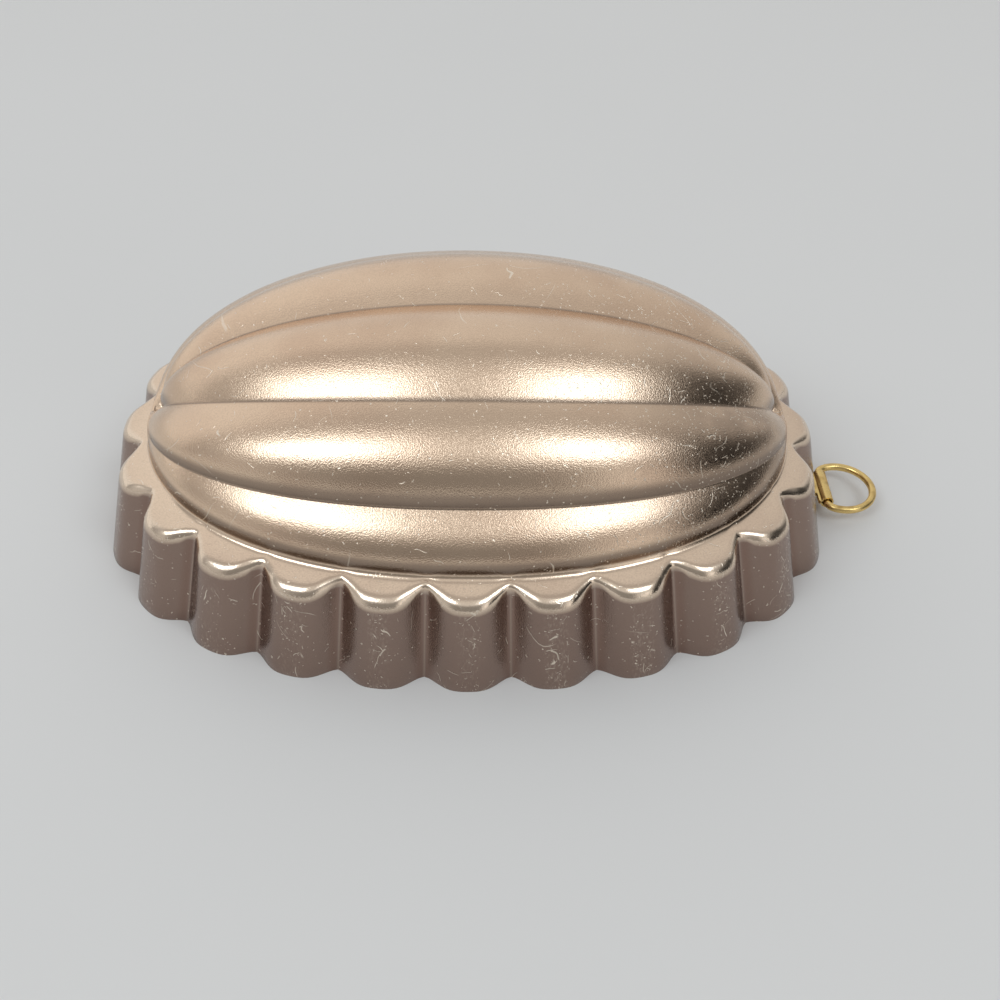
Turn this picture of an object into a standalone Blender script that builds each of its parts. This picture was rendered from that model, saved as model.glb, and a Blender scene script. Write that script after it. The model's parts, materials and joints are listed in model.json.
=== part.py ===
"""Jelly mould in the shape of a half melon, standing mouth down, with a hanging ring at one end.

One pressed sheet makes the lobed dome, the scalloped ledge round its foot and the fluted skirt.
A brass strap passes through a slot in the end flute and holds the straight leg of a D-shaped ring.
X runs along the melon, the ring is at +X, and the rim stands on Z = 0.
"""

import math

import bmesh
import bpy
import numpy as np
from mathutils import Vector

MM = 0.001

# Sheet and running clearances
SHEET = 0.9 * MM
GAP = 0.3 * MM

# Rim, measured over the crests of the flutes
RIM_HALF_LENGTH = 95.0 * MM
RIM_HALF_WIDTH = 65.5 * MM
RIM_FLUTE_DEPTH = 4.3 * MM

# Ledge, where the skirt ends and the dome stands. Its height is that of its edge at the crests
LEDGE_HEIGHT = 27.1 * MM
LEDGE_SLOPE = math.radians(11.5)
LEDGE_HALF_LENGTH = 88.0 * MM
LEDGE_HALF_WIDTH = 63.1 * MM
LEDGE_FLUTE_DEPTH = 5.5 * MM
LEDGE_EDGE_ROUND = 2.6 * MM

# Flutes
FLUTES = 24
FLUTE_FULLNESS = 0.56
VALLEY_ROUNDING = 0.05
OVAL_POWER = 2.3

# Foot of the dome on the ledge
FOOT_HALF_LENGTH = 80.4 * MM
FOOT_HALF_WIDTH = 55.6 * MM
FOOT_OVAL_POWER = 2.2
FOOT_FILLET = 1.0 * MM
FOOT_WALL = 0.2 * MM

# Creases between the six lobes: half length, half width, height above the ledge's edge at mid length and at the ends
OUTER_CREASE = (80.6 * MM, 46.6 * MM, 14.1 * MM, 3.4 * MM)
INNER_CREASE = (77.2 * MM, 29.5 * MM, 31.2 * MM, 4.0 * MM)
TOP_CREASE = (77.2 * MM, 0.0 * MM, 36.4 * MM, 4.0 * MM)

# Lobes: the angles at which each leaves its lower and its upper crease, and how long it holds each direction,
# against a round arc's 1. The nose is how far a lobe's end passes its creases
FOOT_LOBE = (math.radians(36.0), math.radians(18.0), 1.0, 1.0)
SIDE_LOBE = (math.radians(42.0), math.radians(27.0), 1.0, 1.0)
TOP_LOBE = (math.radians(30.6), math.radians(31.0), 1.75, 0.85)
NOSE = 1.6 * MM

# Hanging ring of round wire, bent to a D
WIRE = 2.0 * MM
RING_LEG_HALF = 6.0 * MM
RING_BOW_RADIUS = 8.55 * MM
RING_SHOULDER = 4.8 * MM

# Strap folded round the ring's leg
STRAP_THICKNESS = 0.4 * MM
STRAP_STAND_OFF = 0.8 * MM
STRAP_LEAF_GAP = 0.3 * MM
TONGUE_WIDTH = 5.0 * MM
UPPER_TONGUE = 6.5 * MM
LOWER_TONGUE = 2.6 * MM
SLOT_HEIGHT = 4.5 * MM

# How finely the curves are divided
STEPS_PER_FLUTE = 10
STATIONS_PER_FLUTE = 2
STEPS_PER_LOBE = 6
FILLET_STEPS = 2
EDGE_STEPS = 2
BARREL_STEPS = 20
WIRE_SIDES = 12
BOW_STEPS = 24
SHOULDER_STEPS = 6
OVAL_SAMPLES = 7200

# Sizes that follow from those above
RING_DEPTH = RING_SHOULDER + RING_BOW_RADIUS
FLARE = math.atan2(RIM_HALF_LENGTH - LEDGE_HALF_LENGTH, LEDGE_HEIGHT)
STRAP_WIDTH = 2 * (RING_LEG_HALF - GAP)
BARREL_RADIUS = WIRE / 2 + GAP + STRAP_THICKNESS / 2
LEAF_OFFSET = (STRAP_THICKNESS + STRAP_LEAF_GAP) / 2
LEDGE_TOP = LEDGE_HEIGHT + math.tan(LEDGE_SLOPE) * (LEDGE_HALF_LENGTH - FOOT_HALF_LENGTH)
FOOT_TOP = LEDGE_TOP + FOOT_FILLET + FOOT_WALL
TRIM = 2 * SHEET


def crest_x(height):
    """Outer face of the end flute's crest at a height above the rim."""
    return RIM_HALF_LENGTH - math.tan(FLARE) * height


LEG_X = crest_x(SLOT_HEIGHT) + STRAP_STAND_OFF + BARREL_RADIUS + STRAP_THICKNESS / 2
RING_REACH = LEG_X + RING_DEPTH + WIRE / 2
# The ring stands out at one end, so the mould's centre lies off the middle of the whole part.
CENTRE = Vector(((RIM_HALF_LENGTH - RING_REACH) / 2, 0.0, 0.0))


def clear_scene():
    for obj in list(bpy.data.objects):
        bpy.data.objects.remove(obj, do_unlink=True)


def metal(name, colour, roughness):
    material = bpy.data.materials.new(name)
    material.use_nodes = True
    shader = material.node_tree.nodes["Principled BSDF"]
    shader.inputs["Base Color"].default_value = (*colour, 1.0)
    shader.inputs["Roughness"].default_value = roughness
    shader.inputs["Metallic"].default_value = 1.0
    return material


def anodised_aluminium():
    return metal("anodised_aluminium", (0.82, 0.60, 0.46), 0.28)


def brass():
    return metal("brass", (0.83, 0.63, 0.27), 0.25)


def object_from(bm, name, material, origin=None):
    """Makes the mesh an object. Its points are about the mould's centre, and its origin is moved to the one given."""
    origin = CENTRE + (origin or Vector((0.0, 0.0, 0.0)))
    bmesh.ops.translate(bm, verts=bm.verts, vec=CENTRE - origin)
    mesh = bpy.data.meshes.new(name)
    bm.to_mesh(mesh)
    bm.free()
    mesh.shade_smooth()
    mesh.set_sharp_from_angle(angle=math.radians(35.0))
    obj = bpy.data.objects.new(name, mesh)
    obj.location = origin
    bpy.context.scene.collection.objects.link(obj)
    if material:
        mesh.materials.append(material)
    return obj


def closed_object(bm, name, material, origin=None):
    bmesh.ops.recalc_face_normals(bm, faces=bm.faces)
    return object_from(bm, name, material, origin)


def oval(half_length, half_width, power):
    """Dense points of an oval, from the +X end round by +Y."""
    turn = np.linspace(0.0, 2.0 * math.pi, OVAL_SAMPLES + 1)
    cosine, sine = np.cos(turn), np.sin(turn)
    x = half_length * np.sign(cosine) * np.abs(cosine) ** (2.0 / power)
    y = half_width * np.sign(sine) * np.abs(sine) ** (2.0 / power)
    return np.stack([x, y], axis=1)


def even_points(outline, count):
    """Points at equal distances along a closed outline."""
    steps = np.linalg.norm(np.diff(outline, axis=0), axis=1)
    run = np.concatenate([[0.0], np.cumsum(steps)])
    marks = np.linspace(0.0, run[-1], count, endpoint=False)
    return np.stack([np.interp(marks, run, outline[:, axis]) for axis in (0, 1)], axis=1)


def outward(points):
    """Unit normals of a closed outline in plan."""
    along = np.roll(points, -1, axis=0) - np.roll(points, 1, axis=0)
    normal = np.stack([along[:, 1], -along[:, 0]], axis=1)
    return normal / np.linalg.norm(normal, axis=1, keepdims=True)


def wave(phase):
    """Height of a flute from its valley to its crest, 0 to 1; phase counts flutes from a crest."""
    swell = (1.0 + np.cos(2.0 * math.pi * phase)) / 2.0 + VALLEY_ROUNDING
    low, high = VALLEY_ROUNDING ** FLUTE_FULLNESS, (1.0 + VALLEY_ROUNDING) ** FLUTE_FULLNESS
    return (swell ** FLUTE_FULLNESS - low) / (high - low)


def fluted_outline(half_length, half_width, depth):
    """Plan of the skirt at one level, with a crest at each end of both axes. Returns it with its valley oval."""
    count = FLUTES * STEPS_PER_FLUTE
    valley = even_points(oval(half_length - depth, half_width - depth, OVAL_POWER), count)
    rise = depth * wave(np.arange(count) / STEPS_PER_FLUTE)
    return valley + outward(valley) * rise[:, None], valley


def nearest(points, outline):
    """For each point, the closest point of a dense outline."""
    gaps = np.linalg.norm(points[:, None, :] - outline[None, :, :], axis=2)
    return outline[np.argmin(gaps, axis=1)]


def at_height(plan, height):
    return np.column_stack([plan, np.broadcast_to(height, len(plan))])


def unit(vectors):
    return vectors / np.linalg.norm(vectors, axis=1, keepdims=True)


def rounded(start, corner, end, steps):
    """Rows of points on a curve that leaves start and reaches end, drawn towards corner."""
    rows = []
    for step in range(steps + 1):
        t = step / steps
        rows.append((1 - t) ** 2 * start + 2 * t * (1 - t) * corner + t * t * end)
    return rows


def skirt_and_ledge():
    """Rows of the sheet's outer face, from below the rim up the skirt and over the ledge to the dome's foot."""
    rim_plan, _ = fluted_outline(RIM_HALF_LENGTH, RIM_HALF_WIDTH, RIM_FLUTE_DEPTH)
    edge_plan, valley = fluted_outline(LEDGE_HALF_LENGTH, LEDGE_HALF_WIDTH, LEDGE_FLUTE_DEPTH)
    foot_plan = nearest(valley, oval(FOOT_HALF_LENGTH, FOOT_HALF_WIDTH, FOOT_OVAL_POWER))
    room = np.linalg.norm(edge_plan - foot_plan, axis=1, keepdims=True)
    fillet = np.minimum(FOOT_FILLET, 0.35 * room)

    edge = at_height(edge_plan, LEDGE_TOP - math.tan(LEDGE_SLOPE) * room[:, 0])
    rim = at_height(rim_plan, 0.0)
    foot = at_height(foot_plan, LEDGE_TOP)
    fillet_end = foot + unit(edge - foot) * fillet
    wall_start = np.column_stack([foot_plan, LEDGE_TOP + fillet])
    below_rim = rim + (rim - edge) * TRIM / LEDGE_HEIGHT

    ledge = fillet_end - edge
    turn_in = np.minimum(LEDGE_EDGE_ROUND, 0.5 * np.linalg.norm(ledge, axis=1, keepdims=True))
    rows = [below_rim]
    rows += rounded(edge + unit(rim - edge) * turn_in, edge, edge + unit(ledge) * turn_in, EDGE_STEPS)
    rows += rounded(fillet_end, foot, wall_start, FILLET_STEPS)
    return rows, foot_plan


def lobe(start, end, bulge):
    """Points of a smooth bulge from start to end in a cross-section, and how far along it each is."""
    low_angle, high_angle, low_hold, high_hold = bulge
    chord = end - start
    length = np.linalg.norm(chord)
    along = chord / length
    out = np.array([-along[1], along[0]])
    handle = length / (3 * math.cos((low_angle + high_angle) / 4) ** 2)
    first = start + low_hold * handle * (along * math.cos(low_angle) + out * math.sin(low_angle))
    second = end - high_hold * handle * (along * math.cos(high_angle) - out * math.sin(high_angle))
    points = []
    for step in range(STEPS_PER_LOBE):
        t = step / STEPS_PER_LOBE
        near = (1 - t) ** 3 * start + 3 * t * (1 - t) ** 2 * first
        points.append((near + 3 * t * t * (1 - t) * second + t ** 3 * end, t))
    return points


def crease_point(crease, share):
    """Distance from the middle plane and height of a crease where the dome has a share of its full section."""
    _, half_width, height, end_height = crease
    return np.array([-share * half_width, LEDGE_HEIGHT + end_height + share * (height - end_height)])


def dome_section(foot_x, foot_y):
    """Cross-section of the dome from the front foot over the top to the back foot."""
    along = foot_x / FOOT_HALF_LENGTH
    share = math.sqrt(max(0.0, 1.0 - along ** 2))
    lines = [np.array([-abs(foot_y), FOOT_TOP]), crease_point(OUTER_CREASE, abs(foot_y) / FOOT_HALF_WIDTH)]
    lines += [crease_point(crease, share) for crease in (INNER_CREASE, TOP_CREASE)]
    lengths = [FOOT_HALF_LENGTH, OUTER_CREASE[0], INNER_CREASE[0], TOP_CREASE[0]]
    nose = NOSE * math.sqrt(share)
    half = []
    for index, bulge in enumerate((FOOT_LOBE, SIDE_LOBE, TOP_LOBE)):
        if share == 0.0:
            steps = [(lines[index] + (lines[index + 1] - lines[index]) * t, t) for t in lobe_marks()]
        else:
            steps = lobe(lines[index], lines[index + 1], bulge)
        for (y, z), t in steps:
            reach = lengths[index] * (1 - t) + lengths[index + 1] * t
            if index:
                reach += nose * 4 * t * (1 - t)
            half.append((along * reach, y, z))
    top = (along * lengths[-1], *lines[-1])
    return half + [top] + [(x, -y, z) for x, y, z in reversed(half)]


def lobe_marks():
    return [step / STEPS_PER_LOBE for step in range(STEPS_PER_LOBE)]


def add_rows(bm, rows):
    """Adds closed rows of points and the faces between them. Returns the last row of vertices."""
    rings = [[bm.verts.new(point) for point in row] for row in rows]
    for low, high in zip(rings, rings[1:]):
        for index in range(len(low)):
            after = (index + 1) % len(low)
            bm.faces.new((low[index], low[after], high[after], high[index]))
    return rings[-1]


def fan_between(bm, fine, coarse):
    """Joins a ring of points to one with fewer points by triangles."""
    ratio = len(fine) // len(coarse)
    for index, corner in enumerate(coarse):
        first = index * ratio - ratio // 2
        for step in range(first, first + ratio):
            bm.faces.new((fine[step % len(fine)], fine[(step + 1) % len(fine)], corner))
        turn = (first + ratio) % len(fine)
        bm.faces.new((fine[turn], coarse[(index + 1) % len(coarse)], corner))


def add_dome(bm, wall_ring, foot):
    """Adds the dome on the ring of points at the top of the ledge's fillet."""
    stride = STEPS_PER_FLUTE // STATIONS_PER_FLUTE
    count = len(foot)
    foot_ring = [bm.verts.new((*foot[index], FOOT_TOP)) for index in range(0, count, stride)]
    columns = []
    for step in range(0, count // 2 + 1, stride):
        back = count // 2 - step
        front = (count // 2 + step) % count
        points = dome_section(*foot[back])
        inside = [bm.verts.new(point) for point in points[1:-1]]
        columns.append([foot_ring[front // stride], *inside, foot_ring[back // stride]])
    for left, right in zip(columns, columns[1:]):
        for index in range(len(left) - 1):
            corners = [left[index], right[index], right[index + 1], left[index + 1]]
            bm.faces.new(list(dict.fromkeys(corners)))
    fan_between(bm, wall_ring, foot_ring)


def cutter(name, size, centre):
    """Box that a Boolean takes away."""
    bm = bmesh.new()
    bmesh.ops.create_cube(bm, size=1.0)
    bmesh.ops.scale(bm, verts=bm.verts, vec=size)
    bmesh.ops.translate(bm, verts=bm.verts, vec=centre)
    box = closed_object(bm, name, None)
    box.hide_render = True
    box.display_type = "WIRE"
    return box


def cut(obj, box):
    boolean = obj.modifiers.new(box.name, "BOOLEAN")
    boolean.operation = "DIFFERENCE"
    boolean.solver = "EXACT"
    boolean.object = box


def mould_shell(material):
    """The outer face is made as one open sheet, given its thickness inwards, and trimmed flat at the rim."""
    bm = bmesh.new()
    rows, foot = skirt_and_ledge()
    add_dome(bm, add_rows(bm, rows), foot)
    bmesh.ops.remove_doubles(bm, verts=bm.verts, dist=GAP / 100)
    shell = object_from(bm, "mould_shell", material)

    thickness = shell.modifiers.new("sheet", "SOLIDIFY")
    thickness.thickness = SHEET
    thickness.offset = -1.0
    thickness.use_even_offset = True
    thickness.thickness_clamp = 1.0

    length, width = 3 * RIM_HALF_LENGTH, 3 * RIM_HALF_WIDTH
    depth = 4 * TRIM
    cut(shell, cutter("rim_trim", (length, width, depth), (0.0, 0.0, -depth / 2)))
    slot = (8 * SHEET, TONGUE_WIDTH + 2 * GAP, 2 * (LEAF_OFFSET + STRAP_THICKNESS / 2 + GAP))
    cut(shell, cutter("slot", slot, (crest_x(SLOT_HEIGHT), 0.0, SLOT_HEIGHT)))
    return shell


def flute_pitch():
    """Distance from crest to crest round the rim."""
    outline = oval(RIM_HALF_LENGTH - RIM_FLUTE_DEPTH, RIM_HALF_WIDTH - RIM_FLUTE_DEPTH, OVAL_POWER)
    return np.linalg.norm(np.diff(outline, axis=0), axis=1).sum() / FLUTES


def strap_path():
    """Middle line of the strap in the XZ plane, from the tip of its upper tongue to the tip of the lower one."""
    lean = Vector((-math.sin(FLARE), math.cos(FLARE)))
    sag = LEDGE_FLUTE_DEPTH * (1.0 - wave(TONGUE_WIDTH / 2 / flute_pitch()))
    behind = (SHEET + GAP + STRAP_THICKNESS / 2) / math.cos(FLARE) + sag
    upper = Vector((crest_x(SLOT_HEIGHT + LEAF_OFFSET) - behind, SLOT_HEIGHT + LEAF_OFFSET))
    lower = Vector((crest_x(SLOT_HEIGHT - LEAF_OFFSET) - behind, SLOT_HEIGHT - LEAF_OFFSET))
    mouth = math.asin(LEAF_OFFSET / BARREL_RADIUS)
    barrel = []
    for step in range(BARREL_STEPS + 1):
        angle = (math.pi - mouth) * (1 - 2 * step / BARREL_STEPS)
        barrel.append(Vector((LEG_X, SLOT_HEIGHT)) + BARREL_RADIUS * Vector((math.cos(angle), math.sin(angle))))
    neck = crest_x(SLOT_HEIGHT) + GAP
    upper_neck = Vector((neck, upper.y))
    lower_neck = Vector((neck, lower.y))
    path = [upper + lean * UPPER_TONGUE, upper, upper_neck, *barrel, lower_neck, lower, lower - lean * LOWER_TONGUE]
    wide = range(2, len(path) - 3)
    return path, wide


def mitred(path, distance):
    """The path moved sideways by a distance, with its corners kept sharp."""
    moved = []
    for index, point in enumerate(path):
        before = (point - path[index - 1]).normalized() if index else None
        after = (path[index + 1] - point).normalized() if index + 1 < len(path) else None
        before = before or after
        after = after or before
        side = Vector((-before.y - after.y, before.x + after.x)).normalized()
        moved.append(point + side * distance / side.dot(Vector((-after.y, after.x))))
    return moved


def hanger_strap(material):
    """A strip folded round the ring's leg. It narrows to two tongues, which pass the slot and are bent apart."""
    path, wide = strap_path()
    faces = [mitred(path, side * STRAP_THICKNESS / 2) for side in (-1, 1)]
    bands = (-STRAP_WIDTH / 2, -TONGUE_WIDTH / 2, TONGUE_WIDTH / 2, STRAP_WIDTH / 2)
    square = ((0, 0), (1, 0), (1, 1), (0, 1))
    bm = bmesh.new()
    verts = {}

    def corner(station, face, band):
        key = (station, face, band)
        if key not in verts:
            point = faces[face][station]
            verts[key] = bm.verts.new((point.x, bands[band], point.y))
        return verts[key]

    def filled(cell, band):
        return 0 <= cell < len(path) - 1 and 0 <= band <= 2 and (band == 1 or cell in wide)

    for cell in range(len(path) - 1):
        for band in range(3):
            if not filled(cell, band):
                continue
            for side in (0, 1):
                bm.faces.new([corner(cell + a, side, band + b) for a, b in square])
                if not filled(cell + 2 * side - 1, band):
                    bm.faces.new([corner(cell + side, face, band + b) for face, b in square])
                if not filled(cell, band + 2 * side - 1):
                    bm.faces.new([corner(cell + a, face, band + side) for a, face in square])
    return closed_object(bm, "hanger_strap", material)


def ring_path():
    """Middle line of the ring's wire in its own plane: a straight leg on Y, two shoulders and a round bow."""
    shoulder = []
    for step in range(SHOULDER_STEPS):
        angle = math.pi / 2 * step / SHOULDER_STEPS
        rise = (RING_BOW_RADIUS - RING_LEG_HALF) * math.sin(angle)
        shoulder.append((RING_SHOULDER * (1 - math.cos(angle)), RING_LEG_HALF + rise))
    bow = []
    for step in range(BOW_STEPS + 1):
        angle = math.pi / 2 - math.pi * step / BOW_STEPS
        bow.append((RING_SHOULDER + RING_BOW_RADIUS * math.cos(angle), RING_BOW_RADIUS * math.sin(angle)))
    return shoulder + bow + [(x, -y) for x, y in reversed(shoulder)]


def hanging_ring(material):
    """Round wire swept along the D, with its origin on the middle of the leg."""
    leg = Vector((LEG_X, 0.0, SLOT_HEIGHT))
    up = Vector((0.0, 0.0, 1.0))
    path = [Vector((x, y, 0.0)) for x, y in ring_path()]
    bm = bmesh.new()
    rings = []
    for index, point in enumerate(path):
        before = (point - path[index - 1]).normalized()
        after = (path[(index + 1) % len(path)] - point).normalized()
        side = (before + after).normalized().cross(up)
        stretch = 1.0 / side.dot(after.cross(up))
        ring = []
        for corner in range(WIRE_SIDES):
            angle = 2 * math.pi * (corner + 0.5) / WIRE_SIDES
            offset = side * stretch * math.cos(angle) + up * math.sin(angle)
            ring.append(bm.verts.new(leg + point + offset * WIRE / 2))
        rings.append(ring)
    for low, high in zip(rings, rings[1:] + rings[:1]):
        for index in range(WIRE_SIDES):
            after = (index + 1) % WIRE_SIDES
            bm.faces.new((low[index], low[after], high[after], high[index]))
    return closed_object(bm, "hanging_ring", material, leg)


def main():
    clear_scene()
    brass_strip = brass()
    mould_shell(anodised_aluminium())
    hanger_strap(brass_strip)
    hanging_ring(brass_strip)


main()
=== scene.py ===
"""Looks of a half-melon jelly mould: its pressed sheet, its strap and its ring, on a plain stage.

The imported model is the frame. Every piece is made again with finer curves and stands for its plain solid.
"""

import json
import math

import bmesh
import bpy
from bpy.props import FloatProperty, FloatVectorProperty, IntProperty, PointerProperty
from mathutils import Matrix, Vector


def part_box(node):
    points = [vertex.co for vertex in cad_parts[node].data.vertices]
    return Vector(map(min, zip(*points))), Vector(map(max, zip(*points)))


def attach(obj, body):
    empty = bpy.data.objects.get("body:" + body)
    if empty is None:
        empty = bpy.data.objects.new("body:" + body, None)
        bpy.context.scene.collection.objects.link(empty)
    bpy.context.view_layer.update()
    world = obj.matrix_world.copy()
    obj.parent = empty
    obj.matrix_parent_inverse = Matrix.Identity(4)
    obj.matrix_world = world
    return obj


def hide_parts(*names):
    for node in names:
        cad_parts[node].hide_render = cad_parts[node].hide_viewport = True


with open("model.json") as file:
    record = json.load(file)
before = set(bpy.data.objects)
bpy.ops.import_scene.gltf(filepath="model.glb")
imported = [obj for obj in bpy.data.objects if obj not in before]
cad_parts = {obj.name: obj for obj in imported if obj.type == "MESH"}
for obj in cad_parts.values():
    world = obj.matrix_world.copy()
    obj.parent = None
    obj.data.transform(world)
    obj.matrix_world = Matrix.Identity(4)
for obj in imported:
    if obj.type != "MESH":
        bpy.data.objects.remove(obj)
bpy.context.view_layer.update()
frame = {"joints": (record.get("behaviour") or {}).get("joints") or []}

bl_info = {
    "name": "Melon jelly mould",
    "version": (1, 0, 0),
    "blender": (4, 5, 0),
    "location": "3D View > Sidebar > Mould",
    "description": "Makes a pressed melon mould with its hanging ring, and a plain stage for it",
    "category": "Add Mesh",
}

MM = 0.001
SHELL_LOW, SHELL_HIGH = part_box("mould_shell")
CENTRE = Vector(((SHELL_LOW.x + SHELL_HIGH.x) / 2, 0.0, 0.0))
HINGE = Vector(frame["joints"][0]["pos_m"])


def length(name, description, default):
    """Property for a size, given in millimetres."""
    return FloatProperty(
        name=name,
        description=description,
        default=default * MM,
        unit="LENGTH",
        subtype="DISTANCE",
        precision=5,
    )


def number(name, description, default):
    return FloatProperty(name=name, description=description, default=default)


def angle(name, description, default):
    """Property for an angle, given in degrees."""
    return FloatProperty(
        name=name, description=description, default=math.radians(default), unit="ROTATION", subtype="ANGLE"
    )


def colour(name, description, default):
    return FloatVectorProperty(name=name, description=description, default=default, size=3, subtype="COLOR")


class SheetSizes(bpy.types.PropertyGroup):
    """Sizes of the pressed sheet. Each is also an input of its node tree."""

    rim_half_length: length("Rim half length", "Half the length at the rim, over the crests", 95.0)
    rim_half_width: length("Rim half width", "Half the width at the rim, over the crests", 65.5)
    rim_flute_depth: length("Rim flute depth", "From crest to valley at the rim", 4.3)
    ledge_height: length("Ledge height", "Height of the ledge's edge at its crests", 27.1)
    ledge_slope: angle("Ledge slope", "How far the ledge falls away from the dome", 11.5)
    ledge_half_length: length("Ledge half length", "Half the length at the ledge, over the crests", 88.0)
    ledge_half_width: length("Ledge half width", "Half the width at the ledge, over the crests", 63.1)
    ledge_flute_depth: length("Ledge flute depth", "From crest to valley at the ledge", 5.5)
    ledge_edge_round: length("Ledge edge round", "How far the rounding of the ledge's edge reaches", 3.0)
    flutes: IntProperty(name="Flutes", description="Number of flutes round the skirt", default=24)
    flute_fullness: number("Flute fullness", "Lower is rounder crests and tighter valleys", 0.50)
    valley_round: number("Valley rounding", "Higher is rounder valleys and flatter crests", 0.70)
    oval_power: number("Oval power", "2 is an ellipse, more is squarer", 2.3)
    foot_half_length: length("Foot half length", "Half the length of the dome at its foot", 80.4)
    foot_half_width: length("Foot half width", "Half the width of the dome at its foot", 55.6)
    foot_oval_power: number("Foot oval power", "2 is an ellipse, more is squarer", 2.2)
    foot_fillet: length("Foot fillet", "Radius between the ledge and the dome", 1.5)
    foot_wall: length("Foot wall", "Upright stretch above the fillet", 0.2)
    outer_half_length: length("Outer crease half length", "Half the length of the lowest crease", 80.6)
    outer_half_width: length("Outer crease half width", "Its distance from the middle plane", 46.6)
    outer_height: length("Outer crease height", "Above the ledge's edge, at mid length", 14.1)
    outer_end_height: length("Outer crease end height", "Above the ledge's edge, at the ends", 3.4)
    inner_half_length: length("Inner crease half length", "Half the length of the second crease", 77.2)
    inner_half_width: length("Inner crease half width", "Its distance from the middle plane", 29.5)
    inner_height: length("Inner crease height", "Above the ledge's edge, at mid length", 31.2)
    inner_end_height: length("Inner crease end height", "Above the ledge's edge, at the ends", 4.0)
    top_half_length: length("Top crease half length", "Half the length of the middle crease", 77.2)
    top_half_width: length("Top crease half width", "Its distance from the middle plane", 0.0)
    top_height: length("Top crease height", "Above the ledge's edge, at mid length", 36.4)
    top_end_height: length("Top crease end height", "Above the ledge's edge, at the ends", 4.0)
    foot_lobe_low: angle("Foot lobe lower angle", "How far the lobe leans out of its chord below", 36.0)
    foot_lobe_high: angle("Foot lobe upper angle", "How far the lobe leans out of its chord above", 18.0)
    side_lobe_low: angle("Side lobe lower angle", "How far the lobe leans out of its chord below", 42.0)
    side_lobe_high: angle("Side lobe upper angle", "How far the lobe leans out of its chord above", 27.0)
    top_lobe_low: angle("Top lobe lower angle", "How far the lobe leans out of its chord below", 30.6)
    top_lobe_high: angle("Top lobe upper angle", "How far the lobe leans out of its chord above", 31.0)
    top_hold_low: number("Top lobe lower hold", "Hold of its lower direction; 1 is a round arc", 1.75)
    top_hold_high: number("Top lobe upper hold", "Hold of its upper direction; 1 is a round arc", 0.85)
    nose: length("Nose", "How far a lobe's end passes its creases", 1.6)
    columns: IntProperty(name="Columns per flute", description="Steps round each flute", default=20)
    rows: IntProperty(name="Rows per lobe", description="Steps across each lobe", default=20)


class WallSizes(bpy.types.PropertyGroup):
    """Sizes of what is cut and bent after the sheet has its shape."""

    thickness: length("Sheet", "Thickness of the sheet", 0.9)
    rim_break: length("Rim break", "Width of the broken edge of the trimmed rim", 0.14)
    slot_height: length("Slot height", "Middle of the strap's slot above the rim", 4.5)
    slot_width: length("Slot width", "Width of the strap's slot", 5.6)
    slot_gap: length("Slot gap", "Height of the strap's slot", 1.7)


class HangerSizes(bpy.types.PropertyGroup):
    """Sizes of the folded strap and of the wire ring in it."""

    wire: length("Wire", "Thickness of the ring's wire", 2.0)
    leg_half: length("Leg half length", "Half the straight leg of the ring", 6.0)
    bow_radius: length("Bow radius", "Radius of the ring's bow, to the middle of the wire", 8.55)
    shoulder: length("Shoulder", "From the leg to where the bow starts", 4.8)
    play: length("Play", "Clearance between the strap and its neighbours", 0.3)
    strip: length("Strip", "Thickness of the strap", 0.4)
    leaf_gap: length("Leaf gap", "Between the strap's two leaves", 0.3)
    tongue: length("Tongue width", "Width of the strap where it passes the slot", 5.0)
    upper_tongue: length("Upper tongue", "Length bent up inside", 6.5)
    lower_tongue: length("Lower tongue", "Length bent down inside", 2.6)
    bend: length("Bend", "Inner radius of the strap's bends", 0.5)


class Finish(bpy.types.PropertyGroup):
    """Colours of the metals and of the stage, some of them used as painted shade and highlight."""

    anodised: colour("Anodised sheet", "Copper-tone anodising", (0.81, 0.612, 0.447))
    anodised_deep: colour("Anodised, deeper", "Where the tone has stayed thicker", (0.72, 0.525, 0.378))
    # Painted shade: the skirt is painted much darker than the dome.
    anodised_dull: colour("Anodised, dull", "Tone of the skirt, handled most", (0.26, 0.184, 0.158))
    # Painted shade in the valleys of the flutes.
    anodised_thick: colour("Anodised, thick", "Tone left in the valleys of the flutes", (0.26, 0.165, 0.13))
    # Bare metal, also painted as a thin highlight along the skirt's valleys.
    bare_and_sheen: colour("Bare metal", "Where it is rubbed thin or scratched through", (0.96, 0.86, 0.72))
    # Painted shade in the creases and on steep faces; also grain speckle and a stain.
    shade_and_grime: colour("Grime", "What has stayed in the creases", (0.22, 0.165, 0.13))
    plain: colour("Plain aluminium", "The unanodised inside", (0.90, 0.89, 0.87))
    brass: colour("Brass", "Colour of the ring and the strap", (0.80, 0.58, 0.23))
    brass_dull: colour("Dull brass", "Brass in its corners", (0.50, 0.33, 0.12))
    floor: colour("Floor", "Plain pale floor", (0.74, 0.725, 0.705))


# Node trees

GEOMETRY, NUMBER, WHOLE = "NodeSocketGeometry", "NodeSocketFloat", "NodeSocketInt"
POINT, MATERIAL = "NodeSocketVector", "NodeSocketMaterial"
NODE_COLUMN, NODE_ROW, NODES_DOWN = 190, 170, 9


class Value:
    """An output inside a node tree. Arithmetic on it adds nodes to that tree."""

    def __init__(self, rule, socket):
        self.rule = rule
        self.socket = socket

    def __add__(self, other):
        return self.rule.work("ADD", self, other)

    def __radd__(self, other):
        return self.rule.work("ADD", other, self)

    def __sub__(self, other):
        return self.rule.work("SUBTRACT", self, other)

    def __rsub__(self, other):
        return self.rule.work("SUBTRACT", other, self)

    def __mul__(self, other):
        return self.rule.work("MULTIPLY", self, other)

    def __rmul__(self, other):
        return self.rule.work("MULTIPLY", other, self)

    def __truediv__(self, other):
        return self.rule.work("DIVIDE", self, other)

    def __rtruediv__(self, other):
        return self.rule.work("DIVIDE", other, self)

    def __pow__(self, other):
        return self.rule.work("POWER", self, other)


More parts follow.
